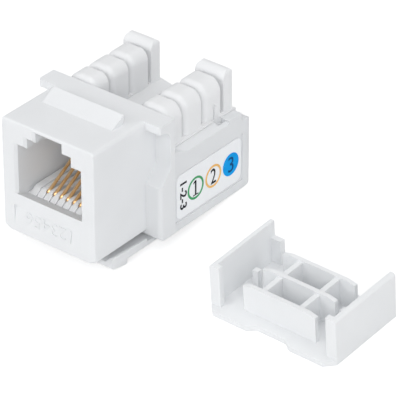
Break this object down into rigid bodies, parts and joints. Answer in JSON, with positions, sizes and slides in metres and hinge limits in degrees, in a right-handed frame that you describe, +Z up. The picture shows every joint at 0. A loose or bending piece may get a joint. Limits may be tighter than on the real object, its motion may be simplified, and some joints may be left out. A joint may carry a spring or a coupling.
{
  "type": "keystone jack",
  "caption": "Snap-in modular jack with a stepped plug port, sprung contacts, a latch underneath, wire-punching towers behind and a separate wiring cap.",
  "frame": {"origin": "centre of the housing's front face, where it fills the wall plate's keystone opening", "axes": "+X to the right along the front face, +Y from the front face to the rear, +Z up from the latch to the fixed lug"},
  "size_m": [0.0503, 0.028, 0.0194],
  "materials": {
    "housing_white": "satin moulded",
    "insert_white": "satin moulded",
    "shell_white": "satin moulded",
    "cap_white": "satin moulded",
    "board_green": "solder mask",
    "label_paper": "printed film",
    "contact_gold": "gold flash",
    "terminal_tin": "tin plate"
  },
  "bodies": {
    "housing": {"front_housing": "housing_white", "contact_carrier": "insert_white", "rear_shell": "shell_white", "idc_block": "insert_white", "circuit_board": "board_green", "contact_lead_1": "contact_gold", "contact_lead_2": "contact_gold", "contact_lead_3": "contact_gold", "contact_lead_4": "contact_gold", "contact_lead_5": "contact_gold", "contact_lead_6": "contact_gold", "idc_terminal_1": "terminal_tin", "idc_terminal_2": "terminal_tin", "idc_terminal_3": "terminal_tin", "idc_terminal_4": "terminal_tin", "idc_terminal_5": "terminal_tin", "idc_terminal_6": "terminal_tin", "label_right": "label_paper", "label_left": "label_paper", "termination_cap": "cap_white"},
    "latch": {"latch_arm": "housing_white"},
    "contact_1": {"contact_wire_1": "contact_gold"},
    "contact_2": {"contact_wire_2": "contact_gold"},
    "contact_3": {"contact_wire_3": "contact_gold"},
    "contact_4": {"contact_wire_4": "contact_gold"},
    "contact_5": {"contact_wire_5": "contact_gold"},
    "contact_6": {"contact_wire_6": "contact_gold"}
  },
  "joints": [
    {"name": "latch_flex", "type": "hinge", "parent": "housing", "child": "latch", "pos_m": [0, 0.0114, -0.00894], "axis": [-1, 0, 0], "range_deg": [0, 4], "stiffness_Nm_per_rad": 0.2},
    {"name": "contact_flex_1", "type": "hinge", "parent": "housing", "child": "contact_1", "pos_m": [-0.00255, 0.0036, -0.00283], "axis": [-1, 0, 0], "range_deg": [0, 10], "stiffness_Nm_per_rad": 0.024},
    {"name": "contact_flex_2", "type": "hinge", "parent": "housing", "child": "contact_2", "pos_m": [-0.00153, 0.0036, -0.00283], "axis": [-1, 0, 0], "range_deg": [0, 10], "stiffness_Nm_per_rad": 0.024},
    {"name": "contact_flex_3", "type": "hinge", "parent": "housing", "child": "contact_3", "pos_m": [-0.00051, 0.0036, -0.00283], "axis": [-1, 0, 0], "range_deg": [0, 10], "stiffness_Nm_per_rad": 0.024},
    {"name": "contact_flex_4", "type": "hinge", "parent": "housing", "child": "contact_4", "pos_m": [0.00051, 0.0036, -0.00283], "axis": [-1, 0, 0], "range_deg": [0, 10], "stiffness_Nm_per_rad": 0.024},
    {"name": "contact_flex_5", "type": "hinge", "parent": "housing", "child": "contact_5", "pos_m": [0.00153, 0.0036, -0.00283], "axis": [-1, 0, 0], "range_deg": [0, 10], "stiffness_Nm_per_rad": 0.024},
    {"name": "contact_flex_6", "type": "hinge", "parent": "housing", "child": "contact_6", "pos_m": [0.00255, 0.0036, -0.00283], "axis": [-1, 0, 0], "range_deg": [0, 10], "stiffness_Nm_per_rad": 0.024}
  ]
}
